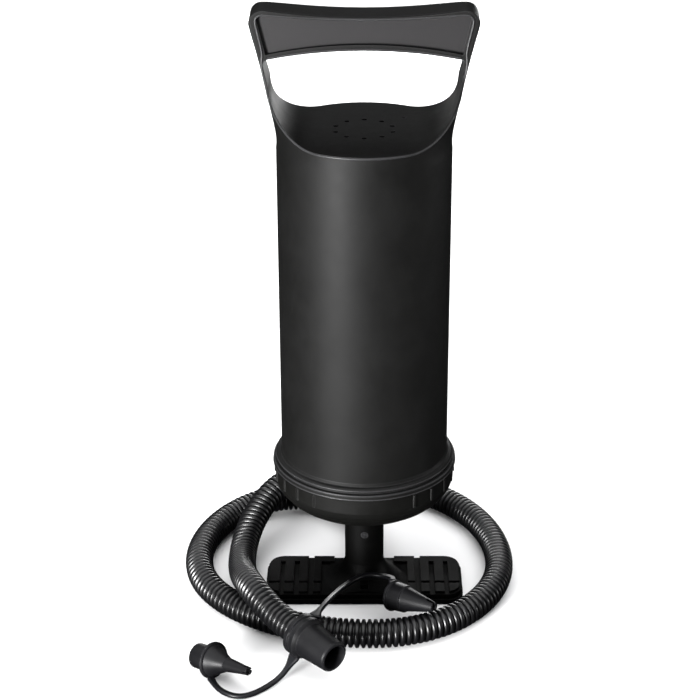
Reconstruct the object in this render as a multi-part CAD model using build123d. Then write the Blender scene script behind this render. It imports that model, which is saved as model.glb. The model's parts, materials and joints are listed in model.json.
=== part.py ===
from build123d import *

# Double-action hand air pump, in millimetres.
# The foot stands on the floor at z = 0 and carries a hollow rod with the piston on top.
# The barrel and its handle are one moulding that slides up and down over that rod.
# +Z is up, +X runs along the foot and the handle, and the rod's axis is x = y = 0.

import os
from math import pi, radians, sqrt, tan

# ---------------------------------------------------------------- driving dimensions
FOOT_LENGTH = 120.0          # along X, at the floor
FOOT_DEPTH = 45.0            # along Y, at the floor
FOOT_COVER_TOP = 3.5         # underside cover, from the floor up
FOOT_PLATE_TOP = 6.5
TREAD_TOP = 8.3
FOOT_CORNER = 9.0
FOOT_SCREWS = [(x, y) for x in (-46.0, 46.0) for y in (-12.0, 12.0)] + [(-24.0, 0.0), (24.0, 0.0)]

STEM_R = 11.75
STEM_TOP = 54.0
STEM_FLARE_TOP = 26.0        # where the stem starts to flare into the foot
STEM_FLARE_R = 25.0          # reach of the flare on the foot
NECK_SCREW_Z = 42.0          # screws that hold the rod in the stem

ROD_R = 9.5
ROD_BORE_R = 7.3
ROD_BOTTOM = 20.0
ROD_TOP = 281.0

BARREL_R = 49.0
BARREL_BORE_R = 46.8
BARREL_TOP = 294.0           # floor of the finger channel
TOP_DISC = 2.5               # thickness of the closed end
SHOULDER_BOTTOM = 284.0      # where the round barrel starts to spread into the handle
SPIGOT_R = 50.0              # threaded end that the cap screws onto
SPIGOT_BOTTOM = 76.8
FLANGE_R = 54.0
FLANGE_BOTTOM = 89.3

CAP_R = 53.0
CAP_TOP = 88.9
CAP_SKIRT_BOTTOM = 79.5
CAP_BOTTOM = 60.0

HANDLE_TOP_MIDDLE = 359.4    # the grip dips slightly in the middle
HANDLE_TOP_END = 363.4
HANDLE_HALF = 62.3
GRIP_HALF_DEPTH = 11.5
GRIP_UNDER_MIDDLE = 341.5
GRIP_UNDER_END = 336.8
GRIP_UNDER_HALF = 51.5       # where the arched underside meets the window's corners
GRIP_BACK_ROUND = 4.0        # rounding of the grip's rear top edge
RECESS_DEPTH = 2.6
FINGER_GROOVE_R = 15.0
FINGER_GROOVE_DEPTH = 0.8
FINGER_GROOVES_X = (-33.0, -11.0, 11.0, 33.0)

PISTON_R = 46.3
PISTON_BOTTOM = 264.0
PISTON_TOP = 283.0

HOSE_D = 17.0
PORT_BORE_R = 4.5            # air duct through the port
SPIGOT_PIPE_R = 6.2          # pipe that the hose pushes onto
PORT_LIP = 6.0               # length of cuff past the end of that pipe
PORT_Z = 12.0
PORT_Y = 38.0                # end of the cuff, where the hose leaves
STRAP_D = 3.2
MOUTH_BORE_R = 7.3           # push-in seat in the hose end
MOUTH_DEPTH = 16.0
HOSE_SEAT_R = 5.5            # air passage behind that seat
PLUG_R = 7.25                # push-in end of a nozzle

LOOSE = 0.3                  # gap between pieces that only pass each other
RUNNING = 0.05               # radial gap in a sliding or turning fit

BOTTOM = (Align.CENTER, Align.CENTER, Align.MIN)


# ---------------------------------------------------------------- small helpers
def disc(radius, low, high):
    """A round bar on the Z axis, from low to high."""
    return Pos(0, 0, low) * Cylinder(radius, high - low, align=BOTTOM)


def ring(outer, inner, low, high):
    """A flat-ended tube on the Z axis."""
    return disc(outer, low, high) - disc(inner, low - 1, high + 1)


def turned(points):
    """A closed (radius, height) outline turned round the Z axis."""
    return revolve(Plane.XZ * make_face(Polyline(*points, close=True)), Axis.Z)


def around(shape, count, start=0.0, sweep=360.0):
    """Copies of a shape, evenly spaced round the Z axis."""
    return [Rot(0, 0, start + sweep * step / count) * shape for step in range(count)]


def block(x_low, x_high, y_low, y_high, z_low, z_high):
    """An upright box given by its faces."""
    size = (x_high - x_low, y_high - y_low, z_high - z_low)
    centre = ((x_high + x_low) / 2, (y_high + y_low) / 2, (z_high + z_low) / 2)
    return Pos(*centre) * Box(*size)


def pin_along_y(radius, x, z, y_low, y_high):
    """A round bar parallel to Y."""
    middle = (y_low + y_high) / 2
    return Pos(x, middle, z) * Rot(90, 0, 0) * Cylinder(radius, y_high - y_low)


def on_axis(shape, start, direction):
    """Turn a shape made on the Z axis so that Z follows direction from start."""
    return Plane(origin=start, z_dir=direction).location * shape


# ---------------------------------------------------------------- foot
def foot_plate(length, depth, low, high):
    outline = RectangleRounded(length, depth, FOOT_CORNER)
    return extrude(Pos(0, 0, low) * outline, high - low)


def tread_pads():
    """Raised blocks on both wings of the foot, cut by narrow grooves."""
    rows = ((-20.5, -11.0), (-8.5, 20.8))
    columns = ((26.5, 31.0), (34.5, 39.8), (43.0, 48.8), (51.5, 58.2))
    pads = []
    for side in (-1, 1):
        for y_low, y_high in rows:
            for x_low, x_high in columns:
                edges = sorted((side * x_low, side * x_high))
                pads.append(block(edges[0], edges[1], y_low, y_high, FOOT_PLATE_TOP - 0.5, TREAD_TOP))
        bars = ((18.5, 29.5), (34.5, 58.2))
        for x_low, x_high in bars:
            edges = sorted((side * x_low, side * x_high))
            pads.append(block(edges[0], edges[1], 14.5, 20.8, FOOT_PLATE_TOP - 0.5, TREAD_TOP))
    rounded = foot_plate(FOOT_LENGTH - 3.6, FOOT_DEPTH - 3.6, FOOT_PLATE_TOP - 1, TREAD_TOP + 1)
    return [pad & rounded for pad in pads]


def stem_flare():
    """The hollow curve where the stem spreads into the foot."""
    rise = STEM_FLARE_TOP - FOOT_PLATE_TOP
    reach = STEM_FLARE_R - STEM_R
    middle = (STEM_R + reach * (1 - sqrt(0.5)), FOOT_PLATE_TOP + rise * (1 - sqrt(0.5)))
    curve = ThreePointArc((STEM_R, STEM_FLARE_TOP), middle, (STEM_FLARE_R, FOOT_PLATE_TOP))
    sides = Polyline((STEM_FLARE_R, FOOT_PLATE_TOP), (STEM_FLARE_R, FOOT_PLATE_TOP - 1),
                     (1, FOOT_PLATE_TOP - 1), (1, STEM_FLARE_TOP), (STEM_R, STEM_FLARE_TOP))
    flare = revolve(Plane.XZ * make_face(Curve() + [curve, sides]), Axis.Z)
    return flare & block(-30, 30, -20.4, 20.4, 0, 60)


def make_foot_base():
    body = foot_plate(FOOT_LENGTH - 2, FOOT_DEPTH - 2, FOOT_COVER_TOP, FOOT_PLATE_TOP)
    for pad in tread_pads():
        body += pad
    body += stem_flare()
    body += disc(STEM_R, FOOT_COVER_TOP, STEM_TOP)
    # rear port: a housing over the air duct and a spigot that the hose pushes onto
    body += fillet(block(-9.5, 9.5, 4, FOOT_DEPTH / 2, FOOT_COVER_TOP, 19.5).edges().filter_by(Axis.Y), 3)
    body += pin_along_y(SPIGOT_PIPE_R, 0, PORT_Z, 20, PORT_Y - PORT_LIP)
    # moulded rib at the front of the flare
    body += block(-2.6, 2.6, -19.5, -12, FOOT_PLATE_TOP - 1, 12.5)
    body -= disc(ROD_R + RUNNING, ROD_BOTTOM, STEM_TOP + 1)
    body -= disc(6, 8, ROD_BOTTOM + 1)
    body -= pin_along_y(PORT_BORE_R, 0, PORT_Z, 0, PORT_Y)
    for side in (-1, 1):
        y_recess = sorted((side * (STEM_R - 1.5), side * (STEM_R + 3)))
        body -= pin_along_y(2.3, 0, NECK_SCREW_Z, *y_recess)
        y_shank = sorted((side * ROD_BORE_R, side * STEM_R))
        body -= pin_along_y(1.25, 0, NECK_SCREW_Z, *y_shank)
    for x, y in FOOT_SCREWS:
        body -= Pos(x, y, 0) * disc(1.4, 0, FOOT_PLATE_TOP - 0.8)
    return body


def make_foot_cover():
    """Flat underside cover with lightening pockets that leave ribs."""
    body = foot_plate(FOOT_LENGTH, FOOT_DEPTH, 0, FOOT_COVER_TOP)
    for x in (-35.0, -11.8, 11.8, 35.0):
        for y in (-10.5, 10.5):
            pocket = RectangleRounded(16, 13, 2)
            body -= extrude(Pos(x, y, -0.01) * pocket, 2.0)
    for x, y in FOOT_SCREWS:
        body -= Pos(x, y, 0) * disc(1.4, -1, FOOT_COVER_TOP + 1)
        body -= Pos(x, y, 0) * disc(2.9, -1, 1.6)
    bottom_edges = body.faces().sort_by(Axis.Z)[0].outer_wire().edges()
    return chamfer(bottom_edges, 0.6)


def screw(head_r, head_h, shank_r, length):
    """A pan screw on the Z axis, head at the bottom, with a cross recess in the head."""
    body = disc(head_r, 0, head_h) + disc(shank_r, head_h, head_h + length)
    slot = head_r * 0.5
    body -= block(-slot, slot, -0.35, 0.35, -1, head_h * 0.5)
    body -= block(-0.35, 0.35, -slot, slot, -1, head_h * 0.5)
    return body


def make_foot_screws():
    one = Pos(0, 0, 0.3) * screw(2.7, 1.3, 1.35, 3.9)
    return [Pos(x, y, 0) * one for x, y in FOOT_SCREWS]


def make_neck_screws():
    """Two screws that hold the rod in the stem, heads sunk in the stem's wall."""
    one = Pos(0, 0, -(STEM_R - 0.2)) * screw(2.2, 1.3, 1.2, 3.2)
    return [Pos(0, 0, NECK_SCREW_Z) * Rot(turn, 0, 0) * one for turn in (-90, 90)]


# ---------------------------------------------------------------- rod and piston
def make_pump_rod():
    body = ring(ROD_R, ROD_BORE_R, ROD_BOTTOM, ROD_TOP)
    for turn in range(4):
        hole = Rot(0, 0, 90 * turn + 45) * pin_along_y(2.6, 0, 273.5, 0, ROD_R + 2)
        body -= hole
    for side in (-1, 1):
        body -= pin_along_y(1.25, 0, NECK_SCREW_Z, *sorted((0, side * (ROD_R + 2))))
    body -= ring(ROD_R + 1, ROD_R - 0.8, 261.9, 263.5)
    return body


def make_rod_plug():
    return disc(ROD_BORE_R, 276.5, ROD_TOP) - disc(2.0, 276, ROD_TOP + 1)


def make_piston_screw():
    body = disc(4.5, PISTON_TOP - 0.6, PISTON_TOP + 1.4) + disc(1.95, 277.5, PISTON_TOP)
    return body - Pos(0, 0, PISTON_TOP + 0.4) * extrude(RegularPolygon(2, 6), 2)


def valve_ports(low, high):
    return around(Pos(22, 0, 0) * disc(2.6, low, high), 8)


def make_piston_upper():
    """Upper half of the piston: a web with outlet ports and a skirt round the valve space."""
    body = disc(PISTON_R, 277, PISTON_TOP) + ring(43, 38, 273.6, 277)
    body -= disc(ROD_R + RUNNING, 270, ROD_TOP)
    body -= disc(2.2, 270, PISTON_TOP + 1)
    body -= disc(4.8, PISTON_TOP - 0.6, PISTON_TOP + 1)
    for port in valve_ports(276, PISTON_TOP + 1):
        body -= port
    return body


def make_piston_lower():
    """Lower half of the piston, the mirror of the upper one, bored for the rod."""
    body = disc(PISTON_R, PISTON_BOTTOM, 270) + ring(43, 38, 270, 273.6)
    body -= disc(ROD_R + RUNNING, PISTON_BOTTOM - 1, 275)
    for port in valve_ports(PISTON_BOTTOM - 1, 271):
        body -= port
    return body


def make_piston_seal():
    """Double-lipped ring in the groove between the two piston halves."""
    return turned(((43.1, 270.1), (45.2, 270.1), (46.5, 271.2), (46.5, 272.4), (45.4, 273.5),
                   (46.5, 274.6), (46.5, 275.8), (45.2, 276.9), (43.1, 276.9)))


def make_rod_circlip():
    clip = ring(ROD_R + 2.2, ROD_R - 0.75, 262.0, 263.4)
    return clip - block(-3, 3, 0, 20, 255, 270)


def make_stop_bumper():
    """Soft ring on top of the stem that the cap lands on."""
    body = ring(13.8, ROD_R + LOOSE, STEM_TOP, 59.6)
    outer_edges = body.edges().filter_by(GeomType.CIRCLE).sort_by(SortBy.RADIUS)[-2:]
    return fillet(outer_edges, 1.2)


# ---------------------------------------------------------------- barrel and handle
def handle_solid():
    """The barrel's round wall carried up and spread along X to the ends of the grip."""
    sections = ((SHOULDER_BOTTOM, BARREL_R, BARREL_R), (294.0, 49.2, BARREL_R), (305.0, 51.4, 48.8),
                (322.0, 55.1, 48.0), (344.0, 60.3, 46.5), (368.0, 63.0, 45.0))
    return loft([Pos(0, 0, z) * Ellipse(a, b) for z, a, b in sections])


def handle_front_outline():
    """Front outline of the handle: a dipped top edge with round ends."""
    top = ThreePointArc((54, HANDLE_TOP_END), (0, HANDLE_TOP_MIDDLE), (-54, HANDLE_TOP_END))
    left = ThreePointArc((-54, HANDLE_TOP_END), (-60, 360.9), (-HANDLE_HALF, 354.0))
    right = ThreePointArc((HANDLE_HALF, 354.0), (60, 360.9), (54, HANDLE_TOP_END))
    rest = Polyline((-HANDLE_HALF, 354.0), (-70, 354.0), (-70, 280.0), (70, 280.0), (70, 354.0),
                    (HANDLE_HALF, 354.0))
    face = make_face(Curve() + [top, left, rest, right])
    return extrude(Plane.XZ * face, 70, both=True)


def handle_side_outline():
    """Side outline: full depth at the barrel, drawn in to the depth of the grip."""
    half = ((60, 280), (60, 306), (19.5, 306), (15.0, 316), (13.0, 328), (GRIP_HALF_DEPTH, 340))
    mirrored = [(-y, z) for y, z in reversed(half)]
    round_foot = HANDLE_TOP_END - GRIP_BACK_ROUND
    round_middle = GRIP_BACK_ROUND * (1 - sqrt(0.5))
    back_round = ThreePointArc((GRIP_HALF_DEPTH, round_foot),
                               (GRIP_HALF_DEPTH - round_middle, HANDLE_TOP_END - round_middle),
                               (GRIP_HALF_DEPTH - GRIP_BACK_ROUND, HANDLE_TOP_END))
    rest = Polyline((GRIP_HALF_DEPTH - GRIP_BACK_ROUND, HANDLE_TOP_END), (0, HANDLE_TOP_END + 5),
                    (-GRIP_HALF_DEPTH, HANDLE_TOP_END + 5), *mirrored, *half, (GRIP_HALF_DEPTH, round_foot))
    face = make_face(Curve() + [back_round, rest])
    return extrude(Plane.YZ * face, 80, both=True)


def finger_window():
    """The tunnel under the grip: a flat floor, round sides and an arched top."""
    flat = 24.0
    radius = 28.0
    side_x = flat + radius
    side_z = BARREL_TOP + radius
    half_turn = radius * sqrt(0.5)
    low_right = ThreePointArc((flat, BARREL_TOP), (flat + half_turn, side_z - half_turn), (side_x, side_z))
    low_left = ThreePointArc((-side_x, side_z), (-flat - half_turn, side_z - half_turn), (-flat, BARREL_TOP))
    roof = ThreePointArc((GRIP_UNDER_HALF, GRIP_UNDER_END), (0, GRIP_UNDER_MIDDLE),
                         (-GRIP_UNDER_HALF, GRIP_UNDER_END))
    right = Line((side_x, side_z), (54.6, 332.5))
    right_corner = ThreePointArc((54.6, 332.5), (54.1, 335.6), (GRIP_UNDER_HALF, GRIP_UNDER_END))
    left_corner = ThreePointArc((-GRIP_UNDER_HALF, GRIP_UNDER_END), (-54.1, 335.6), (-54.6, 332.5))
    left = Line((-54.6, 332.5), (-side_x, side_z))
    floor = Line((-flat, BARREL_TOP), (flat, BARREL_TOP))
    outline = [low_right, right, right_corner, roof, left_corner, left, low_left, floor]
    face = make_face(Curve() + outline)
    return extrude(Plane.XZ * face, 80, both=True)


def grip_recess():
    """Shallow panel sunk into the front of the grip, with square lower corners."""
    top = ThreePointArc((54.5, 360.7), (0, 357.9), (-54.5, 360.7))
    left_corner = ThreePointArc((-54.5, 360.7), (-57.0, 359.8), (-57.6, 357.5))
    left = Line((-57.6, 357.5), (-53.2, 339.2))
    under = ThreePointArc((-53.2, 339.2), (0, 344.8), (53.2, 339.2))
    right = Line((53.2, 339.2), (57.6, 357.5))
    right_corner = ThreePointArc((57.6, 357.5), (57.0, 359.8), (54.5, 360.7))
    face = make_face(Curve() + [top, left_corner, left, under, right, right_corner])
    return Pos(0, -GRIP_HALF_DEPTH, 0) * extrude(Plane.XZ * face, RECESS_DEPTH, both=True)


def vent_holes():
    return around(Pos(16.5, 0, 0) * disc(1.5, 285, BARREL_TOP + 1), 10, start=18)


def make_barrel_handle():
    top = handle_solid() & handle_front_outline() & handle_side_outline()
    top -= finger_window()
    top -= grip_recess()
    top -= disc(BARREL_BORE_R, SHOULDER_BOTTOM - 1, BARREL_TOP - TOP_DISC)
    for x in FINGER_GROOVES_X:
        arch = GRIP_UNDER_MIDDLE - (GRIP_UNDER_MIDDLE - GRIP_UNDER_END) * (x / GRIP_UNDER_HALF) ** 2
        top -= pin_along_y(FINGER_GROOVE_R, x, arch + FINGER_GROOVE_DEPTH - FINGER_GROOVE_R, 1, 20)
    wall = turned(((BARREL_BORE_R, SPIGOT_BOTTOM), (SPIGOT_R, SPIGOT_BOTTOM), (SPIGOT_R, FLANGE_BOTTOM),
                   (FLANGE_R, FLANGE_BOTTOM), (FLANGE_R, 91.6), (FLANGE_R - 0.7, 92.3), (51.6, 92.5),
                   (51.6, 93.3), (52.4, 93.5), (52.4, 94.6), (51.6, 95.4), (49.8, 95.9), (BARREL_R, 97.4),
                   (BARREL_R, SHOULDER_BOTTOM), (BARREL_BORE_R, SHOULDER_BOTTOM)))
    body = top + wall
    # boss that carries the intake flap, with a blind hole for its pin
    body += disc(4, 286.5, BARREL_TOP - TOP_DISC)
    body -= disc(1.5, 286, BARREL_TOP - TOP_DISC)
    for hole in vent_holes():
        body -= hole
    body -= Pos(22.3, 19.7, 0) * disc(1.0, BARREL_TOP - 0.5, BARREL_TOP + 1)
    return body


def make_top_intake_flap():
    return ring(21.5, 4 + LOOSE, 290.1, 291.3)


def make_top_flap_pin():
    return disc(8, 285.0, 286.5) + disc(1.5, 286.5, 291.0)


# ---------------------------------------------------------------- bottom cap and gland
def cap_grip_ribs():
    """Upright finger ribs round the cap, left off at its front and back."""
    rib = Pos(CAP_R, 0, 0) * block(-0.8, 0.7, -0.7, 0.7, CAP_SKIRT_BOTTOM + 0.6, CAP_TOP - 1.2)
    turns = [33.0 + 14.25 * step for step in range(9)]
    angles = [-90 + turn for turn in turns] + [-90 - turn for turn in turns]
    return [Rot(0, 0, angle) * rib for angle in angles]


def make_bottom_cap():
    body = turned(((CAP_R, CAP_TOP), (CAP_R, CAP_SKIRT_BOTTOM), (52.2, 76.6), (50.6, 73.6), (48.4, 70.9),
                   (45.6, 68.4), (42.3, 66.2), (38.5, 64.6), (18.5, 61.4), (17, CAP_BOTTOM), (10.2, CAP_BOTTOM),
                   (10.2, 63), (12 + RUNNING, 63), (12 + RUNNING, 78), (15, 78), (15, 65.4), (38.5, 68.0),
                   (44.5, 71.0), (46.5, 75), (50.3, 75), (50.3, CAP_TOP)))
    for rib in cap_grip_ribs():
        body += rib
    body += ring(33, 21, 62.5, 69.0)          # flat seat for the intake flap
    for hole in around(Pos(28, 0, 0) * disc(2.4, 55, 75), 10, start=18):
        body -= hole
    return body


def make_cap_gasket():
    return ring(50.2, BARREL_BORE_R, 75.0, SPIGOT_BOTTOM)


def make_cap_intake_flap():
    return ring(33.5, 20, 69.2, 70.4)


def make_flap_keeper():
    """Spoked ring on the hub that stops the intake flap."""
    body = ring(17.5, 15, 72.4, 75.0)
    for spoke in around(block(15.5, 32, -1.5, 1.5, 72.4, 74.0), 4, start=45):
        body += spoke
    return body - disc(15, 70, 78)


def make_rod_gland():
    return ring(12, ROD_R + RUNNING, 63, 74)


def make_rod_seal():
    return turned(((ROD_R + RUNNING, 74), (12, 74), (12, 77.6), (11.2, 77.6), (10.8, 75.8), (10.3, 77.6),
                   (ROD_R + RUNNING, 77.6)))


def make_gland_nut():
    return ring(17, 10, 78, 80) + ring(17, 15, 75.4, 78)


# ---------------------------------------------------------------- hose, hose end, straps and nozzles
HOSE_ROUTE = [
    (0, 38, 12), (0, 55, 12), (-5.5, 72, 10.8), (-16.5, 86, 9.2), (-32.5, 95, 8.7), (-51, 96, 8.7),
    (-68.5, 88.5, 8.7), (-84, 74, 8.7), (-96, 54, 8.7), (-102.5, 31, 8.7), (-102.5, 7, 8.7), (-95, -16, 8.7),
    (-79.5, -36, 8.7), (-57.5, -52, 8.7), (-31, -63, 8.7), (-3, -68.5, 8.7), (26, -66, 8.7), (52, -53, 8.7),
    (72, -30.5, 8.7), (83, -3, 8.7), (84, 27, 8.7), (77, 56, 8.7), (62, 82.5, 8.7), (40, 102.5, 8.7),
    (13, 111.5, 12), (-15, 107.5, 22), (-39, 92.5, 28.5), (-57, 73, 28), (-68.5, 51.5, 22), (-74.5, 30, 15),
    (-75.5, 9, 13), (-74, -11, 17), (-71.2, -30, 24), (-66.3, -48, 28.5), (-58.8, -63, 28), (-48.8, -76, 24.4),
    (-37.3, -88.8, 23.4),
]
ADAPTOR_START = Vector(*HOSE_ROUTE[-1])
ADAPTOR_AXIS = (ADAPTOR_START - Vector(*HOSE_ROUTE[-2])).normalized()
ADAPTOR_LENGTH = 31.0

NOZZLE_A_FLANGE = (-86.9, -98, 11.2)
NOZZLE_A_AXIS = (0.73, -0.66, 0.19)
NOZZLE_B_FLANGE = (18, -41.5, 18.2)
NOZZLE_B_AXIS = (0.745, -0.632, 0.14)

STRAP_A_ROUTE = [
    (-39.3, -97.2, 13.6), (-43, -100.8, 8), (-48, -105.3, 3.6), (-55, -111.7, 1.9), (-62.5, -118.6, 1.9),
    (-70, -121.2, 1.9), (-77.5, -118.2, 1.9), (-83.8, -111.2, 1.9), (-87, -103.3, 2.2),
]
STRAP_B_ROUTE = [
    (-28.6, -87, 32.6), (-23, -71.5, 31.3), (-17.5, -55, 27.7), (-12.5, -40.5, 23.7), (-7.5, -28.7, 20.5),
    (-2.5, -21.8, 19.3), (3.7, -19, 18.8), (10.2, -20.3, 19.2), (15.5, -24.8, 20.5), (17.6, -30.8, 23.2),
    (16.5, -37.8, 25.8),
]


def route_radii(points, share=0.45):
    """Radius of the arc at each inner point, as large as its two runs allow."""
    radii = []
    for before, here, after in zip(points, points[1:], points[2:]):
        first = Vector(*here) - Vector(*before)
        second = Vector(*after) - Vector(*here)
        turn = radians(first.get_angle(second))
        radii.append(share * min(first.length, second.length) / tan(turn / 2))
    return radii


def cord(name, points, diameter):
    """A plain round cord along straight runs joined by tangent arcs."""
    radii = route_radii(points)
    path = FilletPolyline(*[Vector(*point) for point in points], radius=radii)
    start = Plane(origin=path @ 0, z_dir=path % 0)
    body = sweep(start * Circle(diameter / 2), path=path)
    expected = pi * diameter ** 2 / 4 * path.length
    print(name, "length", round(path.length, 1), "volume ratio", round(body.volume / expected, 4))
    print(name, "radii", [round(radius, 1) for radius in radii])
    return body


def make_hose_cuff():
    """Ribbed cuff that clamps the hose on the port."""
    length = PORT_Y - FOOT_DEPTH / 2
    profile = ((SPIGOT_PIPE_R, 0), (10.6, 0), (10.6, 2.4), (9.9, 2.8), (9.9, 4.2), (10.6, 4.6), (10.6, 6.6),
               (9.9, 7.0), (9.9, 8.4), (10.4, 8.8), (10.4, 10.6), (9.2, length), (PORT_BORE_R, length),
               (PORT_BORE_R, length - PORT_LIP), (SPIGOT_PIPE_R, length - PORT_LIP))
    return Pos(0, FOOT_DEPTH / 2, PORT_Z) * Rot(-90, 0, 0) * turned(profile)


def make_hose_adaptor():
    """Hose end: a double collar, a tapered body and a push-in mouth."""
    mouth_floor = ADAPTOR_LENGTH - MOUTH_DEPTH
    body = turned(((HOSE_SEAT_R, 0), (11.4, 0), (12.5, 0.9), (12.5, 3.6), (11.7, 4.1), (11.7, 4.9), (12.4, 5.4),
                   (12.4, 8.0), (11.4, 9.2), (10.6, 10.0), (9.1, ADAPTOR_LENGTH - 1.4),
                   (8.8, ADAPTOR_LENGTH - 0.5), (8.2, ADAPTOR_LENGTH), (MOUTH_BORE_R, ADAPTOR_LENGTH),
                   (MOUTH_BORE_R, mouth_floor), (HOSE_SEAT_R, mouth_floor)))
    return on_axis(body, ADAPTOR_START, ADAPTOR_AXIS)


def tip_slots(low, high, count, width, reach):
    """Slots cut down from the tip of a nozzle."""
    return around(block(0, reach, -width / 2, width / 2, low, high), count, start=90.0)


def make_nozzle_a():
    """Short valve nozzle: push-in plug, flange, a cone, and a thin tip with four prongs."""
    body = turned(((4.8, -11.5), (6.7, -11.5), (PLUG_R, -10.9), (PLUG_R, 0), (8.6, 0), (8.6, 0.7), (10.1, 0.7),
                   (10.6, 1.2), (10.6, 2.2), (10.0, 2.8), (9.0, 3.0), (7.9, 5.0), (4.4, 13.0), (4.1, 13.4),
                   (4.1, 14.2), (2.7, 27.0), (2.5, 31.0), (1.2, 31.0), (1.6, 18.0), (4.8, 2.0)))
    for slot in tip_slots(27.5, 32, 4, 0.9, 5):
        body -= slot
    return on_axis(body, NOZZLE_A_FLANGE, NOZZLE_A_AXIS)


def make_nozzle_b():
    """Long valve nozzle: socket body that fits over a plug, flange, and a two-pronged tip."""
    body = turned(((MOUTH_BORE_R, -1.6), (9.0, -1.6), (9.4, -1.2), (9.4, -0.2), (8.9, 0.3), (8.5, 0.5),
                   (8.1, 9.0), (7.4, 9.4), (7.2, 10.0), (2.9, 30.0), (1.6, 30.0), (5.4, 10.0), (5.4, 7.5),
                   (MOUTH_BORE_R, 7.5)))
    for slot in tip_slots(24.5, 31, 2, 1.9, 5):
        body -= slot
    return on_axis(body, NOZZLE_B_FLANGE, NOZZLE_B_AXIS)


# ---------------------------------------------------------------- write the parts
PARTS = {
    "foot_base": make_foot_base,
    "foot_cover": make_foot_cover,
    "foot_screws": make_foot_screws,
    "neck_screws": make_neck_screws,
    "pump_rod": make_pump_rod,
    "rod_plug": make_rod_plug,
    "rod_circlip": make_rod_circlip,
    "piston_upper": make_piston_upper,
    "piston_lower": make_piston_lower,
    "piston_seal": make_piston_seal,
    "piston_screw": make_piston_screw,
    "upper_outlet_flap": lambda: ring(30, 14, 275.6, 276.8),
    "lower_outlet_flap": lambda: ring(30, 14, 270.2, 271.4),
    "stop_bumper": make_stop_bumper,
    "barrel_handle": make_barrel_handle,
    "top_intake_flap": make_top_intake_flap,
    "top_flap_pin": make_top_flap_pin,
    "bottom_cap": make_bottom_cap,
    "cap_gasket": make_cap_gasket,
    "cap_intake_flap": make_cap_intake_flap,
    "flap_keeper": make_flap_keeper,
    "rod_gland": make_rod_gland,
    "rod_seal": make_rod_seal,
    "gland_nut": make_gland_nut,
    "hose_cuff": make_hose_cuff,
    "hose": lambda: cord("hose", HOSE_ROUTE, HOSE_D),
    "hose_adaptor": make_hose_adaptor,
    "nozzle_a": make_nozzle_a,
    "nozzle_b": make_nozzle_b,
    "strap_a": lambda: cord("strap_a", STRAP_A_ROUTE, STRAP_D),
    "strap_b": lambda: cord("strap_b", STRAP_B_ROUTE, STRAP_D),
}

os.makedirs("parts", exist_ok=True)
for node, make in PARTS.items():
    made = make()
    solids = [solid for piece in made for solid in piece.solids()] if isinstance(made, list) else made.solids()
    shape = Compound(children=list(solids)) if len(solids) > 1 else solids[0]
    shape.label = node
    export_step(shape, f"parts/{node}.step")
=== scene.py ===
import json
import math

import bmesh
import bpy
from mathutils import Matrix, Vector


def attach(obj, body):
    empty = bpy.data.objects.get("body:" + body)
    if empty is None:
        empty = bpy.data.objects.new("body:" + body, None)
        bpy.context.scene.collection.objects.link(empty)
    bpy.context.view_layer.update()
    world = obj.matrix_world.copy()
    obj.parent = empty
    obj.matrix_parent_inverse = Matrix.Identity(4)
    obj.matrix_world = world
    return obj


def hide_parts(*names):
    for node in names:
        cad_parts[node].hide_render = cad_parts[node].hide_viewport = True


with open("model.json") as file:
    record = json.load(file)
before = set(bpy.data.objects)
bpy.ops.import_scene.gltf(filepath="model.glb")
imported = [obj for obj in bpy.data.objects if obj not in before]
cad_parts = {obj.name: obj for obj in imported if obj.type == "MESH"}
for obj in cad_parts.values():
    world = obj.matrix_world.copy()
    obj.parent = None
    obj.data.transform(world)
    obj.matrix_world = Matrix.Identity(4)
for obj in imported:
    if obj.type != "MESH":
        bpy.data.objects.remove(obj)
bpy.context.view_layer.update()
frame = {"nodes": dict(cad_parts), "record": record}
scene = bpy.context.scene
nodes = frame["nodes"]

# ------------------------------------------------------------------ camera
TILT = 24.83                                  # degrees below the horizon
camera_data = bpy.data.cameras.new("camera")
camera_data.sensor_width = 36.0
camera_data.lens = 99.44
camera_data.shift_x = -0.0204
camera_data.clip_start = 0.05
camera_data.clip_end = 30.0
camera = bpy.data.objects.new("camera", camera_data)
camera.location = (0.0, -1.02045, 0.6316)
camera.rotation_euler = (math.radians(90 - TILT), 0.0, 0.0)
scene.collection.objects.link(camera)
scene.camera = camera

# ------------------------------------------------------------------ cord routes, in metres
HOSE_D = 0.017
HOSE_ROUTE = [
    (0, 0.038, 0.012), (0, 0.055, 0.012), (-0.0055, 0.072, 0.0108), (-0.0165, 0.086, 0.0092),
    (-0.0325, 0.095, 0.0087), (-0.051, 0.096, 0.0087), (-0.0685, 0.0885, 0.0087), (-0.084, 0.074, 0.0087),
    (-0.096, 0.054, 0.0087), (-0.1025, 0.031, 0.0087), (-0.1025, 0.007, 0.0087), (-0.095, -0.016, 0.0087),
    (-0.0795, -0.036, 0.0087), (-0.0575, -0.052, 0.0087), (-0.031, -0.063, 0.0087), (-0.003, -0.0685, 0.0087),
    (0.026, -0.066, 0.0087), (0.052, -0.053, 0.0087), (0.072, -0.0305, 0.0087), (0.083, -0.003, 0.0087),
    (0.084, 0.027, 0.0087), (0.077, 0.056, 0.0087), (0.062, 0.0825, 0.0087), (0.040, 0.1025, 0.0087),
    (0.013, 0.1115, 0.012), (-0.015, 0.1075, 0.022), (-0.039, 0.0925, 0.0285), (-0.057, 0.073, 0.028),
    (-0.0685, 0.0515, 0.022), (-0.0745, 0.030, 0.015), (-0.0755, 0.009, 0.013), (-0.074, -0.011, 0.017),
    (-0.0712, -0.030, 0.024), (-0.0663, -0.048, 0.0285), (-0.0588, -0.063, 0.028), (-0.0488, -0.076, 0.0244),
    (-0.0373, -0.0888, 0.0234),
]
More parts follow.
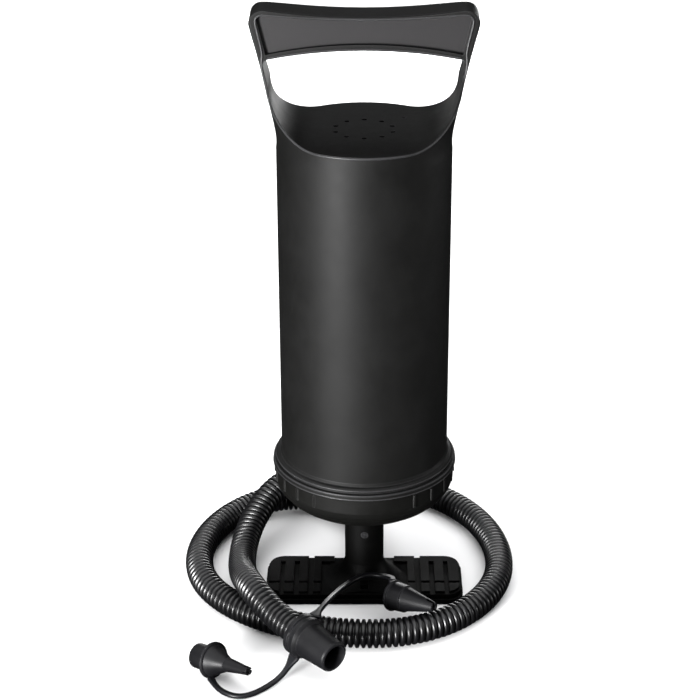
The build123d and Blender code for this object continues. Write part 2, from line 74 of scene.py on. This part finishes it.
STRAP_A_ROUTE = [
    (-0.0393, -0.0972, 0.0136), (-0.043, -0.1008, 0.008), (-0.048, -0.1053, 0.0036),
    (-0.055, -0.1117, 0.0019), (-0.0625, -0.1186, 0.0019), (-0.070, -0.1212, 0.0019),
    (-0.0775, -0.1182, 0.0019), (-0.0838, -0.1112, 0.0019), (-0.087, -0.1033, 0.0022),
]
STRAP_B_ROUTE = [
    (-0.0286, -0.087, 0.0326), (-0.023, -0.0715, 0.0313), (-0.0175, -0.055, 0.0277),
    (-0.0125, -0.0405, 0.0237), (-0.0075, -0.0287, 0.0205), (-0.0025, -0.0218, 0.0193),
    (0.0037, -0.019, 0.0188), (0.0102, -0.0203, 0.0192), (0.0155, -0.0248, 0.0205),
    (0.0176, -0.0308, 0.0232), (0.0165, -0.0378, 0.0258),
]


def centreline(name, route, steps=24):
    """Points along one open NURBS spline whose control points are the route."""
    curve = bpy.data.curves.new(name + "_line", "CURVE")
    curve.dimensions = "3D"
    spline = curve.splines.new("NURBS")
    spline.points.add(len(route) - 1)
    for point, place in zip(spline.points, route):
        point.co = (*place, 1.0)
    spline.order_u = 3
    spline.use_endpoint_u = True
    spline.resolution_u = steps
    holder = bpy.data.objects.new(name + "_line", curve)
    scene.collection.objects.link(holder)
    bpy.context.view_layer.update()
    mesh = bpy.data.meshes.new_from_object(holder)
    points = [vertex.co.copy() for vertex in mesh.vertices]
    bpy.data.meshes.remove(mesh)
    bpy.data.objects.remove(holder)
    bpy.data.curves.remove(curve)
    return points


def even_steps(points, step):
    """The same line with its points a fixed distance apart."""
    travelled = [0.0]
    for first, second in zip(points, points[1:]):
        travelled.append(travelled[-1] + (second - first).length)
    total = travelled[-1]
    count = max(2, round(total / step))
    result = []
    place = 0
    for index in range(count + 1):
        wanted = total * index / count
        while place < len(points) - 2 and travelled[place + 1] < wanted:
            place += 1
        span = travelled[place + 1] - travelled[place]
        share = 0.0 if span < 1e-12 else (wanted - travelled[place]) / span
        result.append(points[place].lerp(points[place + 1], min(1.0, share)))
    return result


def rings_along(points, up=Vector((0, 0, 1))):
    """A (side, up) pair at each point that turns with the line and doesn't twist about it."""
    pairs = []
    for index, point in enumerate(points):
        before = points[max(index - 1, 0)]
        after = points[min(index + 1, len(points) - 1)]
        along = (after - before).normalized()
        side = along.cross(up)
        side.normalize()
        pairs.append((side, side.cross(along).normalized()))
    return pairs


def skin(name, points, outline_at):
    """A closed tube along points. outline_at(index) gives the section as (side, up) offsets."""
    mesh = bpy.data.meshes.new(name)
    build = bmesh.new()
    pairs = rings_along(points)
    rings = []
    for index, (point, (side, up)) in enumerate(zip(points, pairs)):
        rings.append([build.verts.new(point + side * a + up * b) for a, b in outline_at(index)])
    for first, second in zip(rings, rings[1:]):
        for k in range(len(first)):
            following = (k + 1) % len(first)
            build.faces.new((first[k], first[following], second[following], second[k]))
    build.faces.new(list(reversed(rings[0])))
    build.faces.new(rings[-1])
    bmesh.ops.recalc_face_normals(build, faces=build.faces)
    build.to_mesh(mesh)
    build.free()
    for face in mesh.polygons:
        face.use_smooth = True
    piece = bpy.data.objects.new(name, mesh)
    scene.collection.objects.link(piece)
    return piece


def circle(radius, count):
    """Points round a circle, as (side, up) offsets."""
    turns = [2 * math.pi * k / count for k in range(count)]
    return [(radius * math.cos(turn), radius * math.sin(turn)) for turn in turns]


# ------------------------------------------------------------------ corrugated hose
RIB_PITCH = 0.0036
RIB_DEPTH = 0.0019
RIB_CROWN = 0.0004
RINGS_PER_RIB = 8
HOSE_SIDES = 36

hose_line = centreline("hose", HOSE_ROUTE)
hose_points = even_steps(hose_line, RIB_PITCH / RINGS_PER_RIB)


def hose_outline(index):
    """Broad rounded ribs with narrow grooves between them."""
    phase = 2 * math.pi * index / RINGS_PER_RIB
    groove = max(0.0, -math.cos(phase)) ** 1.3
    crown = 0.5 - 0.5 * math.cos(phase)
    return circle(HOSE_D / 2 - RIB_DEPTH * groove - RIB_CROWN * crown, HOSE_SIDES)


hose = skin("corrugated_hose", hose_points, hose_outline)
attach(hose, "foot")
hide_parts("hose")

# ------------------------------------------------------------------ moulded straps
STRAP_STEP = 0.0010
STRAP_SIDES = 24
STRAP_HALF_WIDTH = 0.0016
STRAP_HALF_HEIGHT = 0.00135
STRAP_GROOVE = 0.00035
EAR_WIDTH = 0.0024                            # extra half width where the strap joins the hose end
EAR_REACH = 0.0055
TIP_SWELL = 0.30                              # share by which the strap swells at a nozzle
TIP_REACH = 0.004
STRAPS = (("strap_long", "strap_b", STRAP_B_ROUTE), ("strap_short", "strap_a", STRAP_A_ROUTE))
straps = []
for strap_name, cad_node, route in STRAPS:
    strap_points = even_steps(centreline(strap_name, route), STRAP_STEP)
    last = len(strap_points) - 1

    def strap_outline(index, last=last):
        """A soft flat band, grooved along its top, that widens into an ear at the hose end."""
        from_root = index * STRAP_STEP
        from_tip = (last - index) * STRAP_STEP
        ear = math.exp(-(from_root / EAR_REACH) ** 2)
        swell = 1 + TIP_SWELL * math.exp(-(from_tip / TIP_REACH) ** 2)
        half_width = STRAP_HALF_WIDTH * swell + EAR_WIDTH * ear
        half_height = STRAP_HALF_HEIGHT * swell
        outline = []
        for across, upward in circle(1.0, STRAP_SIDES):
            groove = STRAP_GROOVE * math.exp(-(across / 0.28) ** 2) if upward > 0 else 0.0
            outline.append((half_width * math.copysign(abs(across) ** 0.7, across),
                            half_height * math.copysign(abs(upward) ** 0.7, upward) - groove))
        return outline

    strap = skin(strap_name, strap_points, strap_outline)
    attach(strap, "foot")
    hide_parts(cad_node)
    straps.append((strap, strap_points))

# ------------------------------------------------------------------ raised rims on the handle's front
RIM_R = 0.0006
HANDLE_FLOOR = 0.294                          # floor of the finger channel
half_rim = [(x * 0.001, HANDLE_FLOOR - 0.0009) for x in range(0, 24, 3)]
for degrees in range(-90, 1, 6):
    turn = math.radians(degrees)
    half_rim.append((0.024 + 0.0289 * math.cos(turn), 0.322 + 0.0289 * math.sin(turn)))
half_rim += [(0.0542, 0.3272), (0.0554, 0.3322), (0.0553, 0.3368), (0.0549, 0.3400), (0.0560, 0.3460),
             (0.0574, 0.3520), (0.0585, 0.3570), (0.0580, 0.3600), (0.0550, 0.3613)]
half_rim += [(0.001 * x, 0.3586 + 0.0027 * (x / 55) ** 2) for x in range(50, -1, -5)]
front_outline = half_rim + [(-x, z) for x, z in reversed(half_rim)][1:-1]
under_outline = [(0.001 * x, 0.3423 - 0.0047 * (x / 51.5) ** 2) for x in range(-52, 53, 4)]


def on_handle_front(outline, closed):
    """An outline, given as (x, z), laid on the front of the handle and softened across its depth."""
    places = []
    for x, z in outline:
        struck, place, *_ = nodes["barrel_handle"].ray_cast(Vector((x, -0.09, z)), Vector((0, 1, 0)))
        if struck:
            places.append(place.copy())
    for _ in range(2):
        softened = []
        for k, place in enumerate(places):
            inner = closed or 0 < k < len(places) - 1
            beside = (places[k - 1].y + places[(k + 1) % len(places)].y) / 2 if inner else place.y
            softened.append(Vector((place.x, (place.y + beside) / 2, place.z)))
        places = softened
    return places


def bead(name, places, closed, radius=RIM_R):
    """A fine moulded bead through a line of places, riding on the barrel."""
    curve = bpy.data.curves.new(name, "CURVE")
    curve.dimensions = "3D"
    curve.bevel_depth = radius
    curve.bevel_resolution = 3
    curve.use_fill_caps = True
    spline = curve.splines.new("NURBS")
    spline.points.add(len(places) - 1)
    for point, place in zip(spline.points, places):
        point.co = (*place, 1.0)
    spline.order_u = 3
    spline.use_cyclic_u = closed
    spline.use_endpoint_u = not closed
    spline.resolution_u = 4
    holder = bpy.data.objects.new(name + "_line", curve)
    scene.collection.objects.link(holder)
    bpy.context.view_layer.update()
    piece = bpy.data.objects.new(name, bpy.data.meshes.new_from_object(holder))
    bpy.data.objects.remove(holder)
    scene.collection.objects.link(piece)
    for face in piece.data.polygons:
        face.use_smooth = True
    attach(piece, "barrel")
    return piece


rims = [bead("front_rim", on_handle_front(front_outline, True), True),
        bead("grip_under_rim", on_handle_front(under_outline, False), False)]
COLLAR_RIM_R = 0.0004
COLLAR_POINTS = 90
COLLAR_RIMS = (("collar_rim_low", 0.0539, 0.0895), ("collar_rim_mid", 0.0536, 0.0919),
               ("collar_rim_high", 0.0523, 0.0943))
for rim_name, reach, height in COLLAR_RIMS:
    places = [(x, y, height) for x, y in circle(reach, COLLAR_POINTS)]
    rims.append(bead(rim_name, places, True, COLLAR_RIM_R))

# ------------------------------------------------------------------ materials
PANEL_DEPTH = (-0.0094, -0.0091)              # the recess floor in the grip lies between these two in y
PANEL_BACK = (-0.0086, -0.0084)
PANEL_HEIGHT = (0.3370, 0.3385)               # and above this in z


class Nodes:
    """A short way to add nodes to a material and link them."""

    def __init__(self, name):
        self.material = bpy.data.materials.new(name)
        self.material.use_nodes = True
        self.tree = self.material.node_tree
        self.tree.nodes.clear()
        self.output = self.add("ShaderNodeOutputMaterial")
        self.shader = self.add("ShaderNodeBsdfPrincipled")
        self.link(self.shader, "BSDF", self.output, "Surface")

    def add(self, kind, **inputs):
        node = self.tree.nodes.new(kind)
        for name, value in inputs.items():
            node.inputs[name.replace("_", " ")].default_value = value
        return node

    def link(self, source, output, target, name):
        self.tree.links.new(source.outputs[output], target.inputs[name])

    def noise(self, scale, detail=3.0, roughness=0.55, stretch=(1, 1, 1)):
        place = self.add("ShaderNodeTexCoord")
        mapping = self.add("ShaderNodeMapping", Scale=stretch)
        self.link(place, "Object", mapping, "Vector")
        noise = self.add("ShaderNodeTexNoise", Scale=scale, Detail=detail, Roughness=roughness)
        self.link(mapping, "Vector", noise, "Vector")
        return noise

    def between(self, source, output, low, high, to_low, to_high):
        node = self.add("ShaderNodeMapRange")
        for index, value in enumerate((low, high, to_low, to_high), start=1):
            node.inputs[index].default_value = value
        self.tree.links.new(source.outputs[output], node.inputs[0])
        return node

    def sunk_panel(self):
        """1 on the matt floor of the grip's recess and 0 elsewhere, by place on the object."""
        place = self.add("ShaderNodeTexCoord")
        split = self.tree.nodes.new("ShaderNodeSeparateXYZ")
        self.link(place, "Object", split, "Vector")
        product = self.tree.nodes.new("ShaderNodeMath")
        product.operation = "MULTIPLY"
        depth = self.between(split, "Y", *PANEL_DEPTH, 0.0, 1.0)
        height = self.between(split, "Z", *PANEL_HEIGHT, 0.0, 1.0)
        self.tree.links.new(depth.outputs[0], product.inputs[0])
        self.tree.links.new(height.outputs[0], product.inputs[1])
        front = self.between(split, "Y", *PANEL_BACK, 1.0, 0.0)
        both = self.tree.nodes.new("ShaderNodeMath")
        both.operation = "MULTIPLY"
        self.tree.links.new(product.outputs[0], both.inputs[0])
        self.tree.links.new(front.outputs[0], both.inputs[1])
        return both

    def mix(self, factor, first, second):
        """Blend of two colours by a 0 to 1 value."""
        node = self.tree.nodes.new("ShaderNodeMix")
        node.data_type = "RGBA"
        self.tree.links.new(factor.outputs[0], node.inputs[0])
        for socket, value in ((node.inputs[6], first), (node.inputs[7], second)):
            if isinstance(value, tuple):
                socket.default_value = (*value, 1.0)
            else:
                self.tree.links.new(value.outputs[2], socket)
        return node


def moulded(name, dark, light, rough, grain=1500.0, grain_height=0.00006, edge=0.0006, specular=0.35,
            painted_edge_highlight=None, streak=(1, 1, 1), panel=None):
    """Moulded plastic or rubber: mottled colour, fine grain, soft edges and a painted highlight along them."""
    m = Nodes(name)
    broad = m.noise(38.0, 4.0, 0.6, streak)
    colour = m.mix(m.between(broad, 0, 0.35, 0.65, 0.0, 1.0), dark, light)
    bevel = m.add("ShaderNodeBevel", Radius=edge)
    bevel.samples = 4
    # the lighter colour laid along the edges is a painted highlight
    if painted_edge_highlight:
        geometry = m.add("ShaderNodeNewGeometry")
        facing = m.tree.nodes.new("ShaderNodeVectorMath")
        facing.operation = "DOT_PRODUCT"
        m.tree.links.new(bevel.outputs[0], facing.inputs[0])
        m.tree.links.new(geometry.outputs["Normal"], facing.inputs[1])
        edge_highlight_mask = m.between(facing, 1, 0.985, 0.86, 0.0, 0.85)
        colour = m.mix(edge_highlight_mask, colour, painted_edge_highlight)
    if panel:
        colour = m.mix(m.sunk_panel(), colour, panel)
    m.tree.links.new(colour.outputs[2], m.shader.inputs["Base Color"])
    patchy = m.noise(95.0, 5.0, 0.65, streak)
    m.link(m.between(patchy, 0, 0.3, 0.7, rough[0], rough[1]), 0, m.shader, "Roughness")
    fine = m.noise(grain, 2.0, 0.5)
    bump = m.add("ShaderNodeBump", Strength=0.55, Distance=grain_height)
    m.link(fine, 0, bump, "Height")
    m.link(bevel, 0, bump, "Normal")
    m.link(bump, 0, m.shader, "Normal")
    m.shader.inputs["Specular IOR Level"].default_value = specular
    return m.material


def metal(name, tone, rough, brush):
    """Plated steel with fine turning lines."""
    m = Nodes(name)
    lines = m.noise(900.0, 3.0, 0.5, brush)
    colour = m.mix(m.between(lines, 0, 0.3, 0.7, 0.0, 1.0), tuple(0.75 * c for c in tone), tone)
    m.tree.links.new(colour.outputs[2], m.shader.inputs["Base Color"])
    m.link(m.between(lines, 0, 0.3, 0.7, rough[0], rough[1]), 0, m.shader, "Roughness")
    m.shader.inputs["Metallic"].default_value = 1.0
    bump = m.add("ShaderNodeBump", Strength=0.4, Distance=0.00003)
    m.link(lines, 0, bump, "Height")
    m.link(bump, 0, m.shader, "Normal")
    return m.material


FINISHES = {
    # the edge colours given to these finishes paint highlights along the edges
    "barrel_black": moulded("barrel_plastic", (0.0022, 0.0022, 0.0021), (0.0034, 0.0034, 0.0033), (0.50, 0.58),
                            painted_edge_highlight=(0.022, 0.022, 0.023), edge=0.0008, specular=0.12,
                            panel=(0.011, 0.0105, 0.011)),
    "cap_black": moulded("cap_plastic", (0.0018, 0.0018, 0.0016), (0.0028, 0.0028, 0.0026), (0.46, 0.56),
                         painted_edge_highlight=(0.030, 0.030, 0.030), edge=0.0006, specular=0.09),
    "foot_black": moulded("foot_plastic", (0.0004, 0.0004, 0.0004), (0.0008, 0.0008, 0.0007), (0.5, 0.62),
                          painted_edge_highlight=(0.006, 0.006, 0.006), edge=0.0006, specular=0.05),
    "rod_black": moulded("rod_plastic", (0.003, 0.003, 0.003), (0.005, 0.005, 0.005), (0.22, 0.32),
                         grain_height=0.00002, streak=(1, 1, 0.1), specular=0.3),
    "hose_black": moulded("hose_plastic", (0.0010, 0.0010, 0.0012), (0.0022, 0.0022, 0.0026), (0.30, 0.40),
                          grain=900.0, grain_height=0.00005, specular=0.42),
    "fitting_black": moulded("fitting_plastic", (0.0024, 0.0024, 0.0028), (0.0044, 0.0044, 0.0050),
                             (0.38, 0.50), painted_edge_highlight=(0.020, 0.020, 0.022), edge=0.0005, specular=0.14),
    "strap_black": moulded("strap_plastic", (0.0030, 0.0030, 0.0038), (0.0052, 0.0052, 0.0062), (0.30, 0.42),
                           specular=0.2),
    "seal_rubber": moulded("seal_rubber", (0.004, 0.004, 0.004), (0.007, 0.007, 0.007), (0.6, 0.75),
                           specular=0.1),
    "piston_grey": moulded("piston_plastic", (0.12, 0.125, 0.13), (0.15, 0.155, 0.16), (0.4, 0.52)),
    "gland_white": moulded("gland_plastic", (0.40, 0.39, 0.36), (0.46, 0.45, 0.43), (0.38, 0.5)),
    # the beads' lighter colour is a painted highlight along the handle rims and collar ridges
    "rim": moulded("rim_painted_highlight", (0.010, 0.010, 0.0105), (0.016, 0.016, 0.017), (0.36, 0.46), specular=0.3),
    "screw_steel": metal("zinc_steel", (0.13, 0.13, 0.135), (0.28, 0.42), (1, 1, 0.05)),
}

cad_slots = {sub["node"]: sub["material_slot"] for sub in frame["record"]["subparts"]}
for node_name, node in nodes.items():
    finish = FINISHES[cad_slots[node_name]]
    if not node.data.materials:
        node.data.materials.append(finish)
    for index in range(len(node.material_slots)):
        node.material_slots[index].material = finish
hose.data.materials.append(FINISHES["hose_black"])
for rim in rims:
    rim.data.materials.append(FINISHES["rim"])
for strap, _ in straps:
    strap.data.materials.append(FINISHES["strap_black"])

# ------------------------------------------------------------------ floor and light
FLOOR_HALF = 30.0
FLOOR_DROP = 0.0003                           # keeps the floor just under the foot
floor_mesh = bpy.data.meshes.new("floor")
floor_corners = [(-FLOOR_HALF, -FLOOR_HALF, 0), (FLOOR_HALF, -FLOOR_HALF, 0), (FLOOR_HALF, FLOOR_HALF, 0),
                 (-FLOOR_HALF, FLOOR_HALF, 0)]
floor_mesh.from_pydata(floor_corners, [], [(0, 1, 2, 3)])
floor = bpy.data.objects.new("floor", floor_mesh)
floor.location = (0, 0, -FLOOR_DROP)
floor.visible_glossy = False                  # keeps the pale floor out of the black plastic's gloss
scene.collection.objects.link(floor)
floor_look = Nodes("floor_paper")
floor_tone = floor_look.mix(floor_look.between(floor_look.noise(3.0), 0, 0.3, 0.7, 0.0, 1.0),
                            (0.86, 0.86, 0.86), (0.88, 0.88, 0.88))
floor_look.tree.links.new(floor_tone.outputs[2], floor_look.shader.inputs["Base Color"])
floor_look.shader.inputs["Roughness"].default_value = 0.8
floor_mesh.materials.append(floor_look.material)

# a room that is dark up to a third of the way to the zenith and bright above, seen white by the camera
ROOM_DARK_UP_TO = 0.35
ROOM_BRIGHT_FROM = 0.95
ROOM_DARK = 0.012
ROOM_BRIGHT = 0.6
world = bpy.data.worlds.new("studio")
world.use_nodes = True
world_tree = world.node_tree
background = world_tree.nodes["Background"]
background.inputs["Color"].default_value = (0.96, 0.97, 1.0, 1.0)
world_place = world_tree.nodes.new("ShaderNodeTexCoord")
world_split = world_tree.nodes.new("ShaderNodeSeparateXYZ")
world_height = world_tree.nodes.new("ShaderNodeMapRange")
for index, value in enumerate((ROOM_DARK_UP_TO, ROOM_BRIGHT_FROM, ROOM_DARK, ROOM_BRIGHT), start=1):
    world_height.inputs[index].default_value = value
world_tree.links.new(world_place.outputs["Generated"], world_split.inputs[0])
world_tree.links.new(world_split.outputs["Z"], world_height.inputs[0])
world_tree.links.new(world_height.outputs[0], background.inputs["Strength"])
backdrop = world_tree.nodes.new("ShaderNodeBackground")
backdrop.inputs["Color"].default_value = (1.0, 1.0, 1.0, 1.0)
backdrop.inputs["Strength"].default_value = 1.0
seen = world_tree.nodes.new("ShaderNodeLightPath")
world_mix = world_tree.nodes.new("ShaderNodeMixShader")
world_tree.links.new(seen.outputs["Is Camera Ray"], world_mix.inputs[0])
world_tree.links.new(background.outputs[0], world_mix.inputs[1])
world_tree.links.new(backdrop.outputs[0], world_mix.inputs[2])
world_tree.links.new(world_mix.outputs[0], world_tree.nodes["World Output"].inputs["Surface"])
scene.world = world
scene.view_settings.view_transform = "Standard"


def softbox(name, place, aim, width, height, power):
    """A rectangular light that the camera doesn't see."""
    data = bpy.data.lights.new(name, "AREA")
    data.shape = "RECTANGLE"
    data.size = width
    data.size_y = height
    data.energy = power
    lamp = bpy.data.objects.new(name, data)
    lamp.location = place
    lamp.rotation_mode = "QUATERNION"
    lamp.rotation_quaternion = (Vector(aim) - Vector(place)).to_track_quat("-Z", "Y")
    lamp.visible_camera = False
    scene.collection.objects.link(lamp)


OVERHEAD_STRENGTH = 3.9
OVERHEAD_SPREAD = math.radians(95)
OVERHEAD_LEAN = math.radians(-6)
overhead_data = bpy.data.lights.new("overhead", "SUN")
overhead_data.energy = OVERHEAD_STRENGTH
overhead_data.angle = OVERHEAD_SPREAD
overhead = bpy.data.objects.new("overhead", overhead_data)
overhead.rotation_euler = (0, OVERHEAD_LEAN, 0)
scene.collection.objects.link(overhead)
softbox("fill_back", (0.10, 1.35, 0.15), (0, 0, 0.18), 0.6, 0.18, 7.0)
softbox("fill_right", (1.45, 0.25, 0.15), (0, 0, 0.18), 0.5, 0.18, 4.5)
softbox("key_left", (-0.80, -1.20, 0.14), (0, 0, 0.19), 0.36, 0.50, 122.0)
